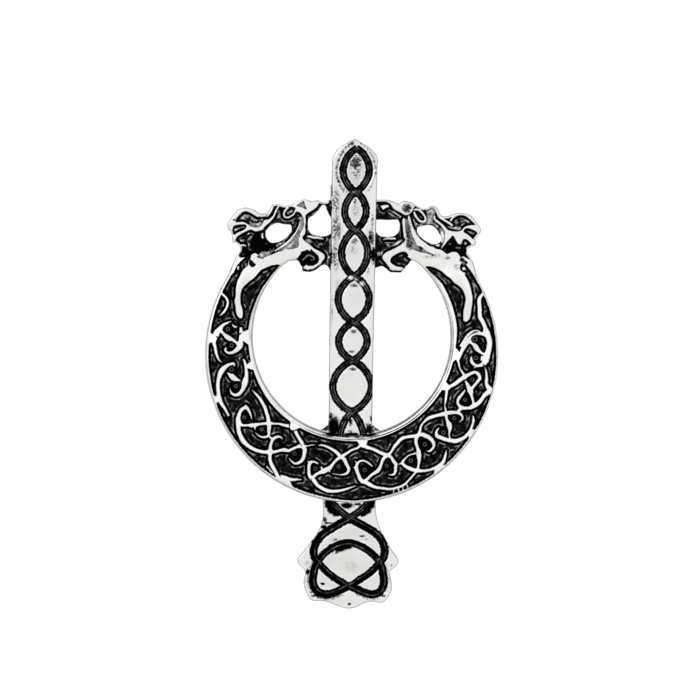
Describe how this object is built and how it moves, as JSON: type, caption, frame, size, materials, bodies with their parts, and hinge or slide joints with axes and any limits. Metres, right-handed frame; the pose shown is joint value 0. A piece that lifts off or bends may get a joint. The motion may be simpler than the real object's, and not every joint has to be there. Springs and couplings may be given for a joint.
{
  "type": "plaid brooch",
  "caption": "Cast plaid brooch: a crescent ring with knotwork and facing dragon heads, a long pointed bar through it with a fan foot, and a brooch pin behind.",
  "frame": {"origin": "middle of the brooch's box, on the surface that it rests on", "axes": "+Z out of the brooch's face, +Y along the bar from its fan foot to its point, +X to the right seen face on"},
  "size_m": [0.0438, 0.07, 0.0069],
  "materials": {
    "antique_silver": "polished antique silver plate with blackened recesses",
    "pin_steel": "plain nickelled steel"
  },
  "bodies": {
    "root": {"casting": "antique_silver", "pin_fitting": "pin_steel"}
  },
  "joints": []
}
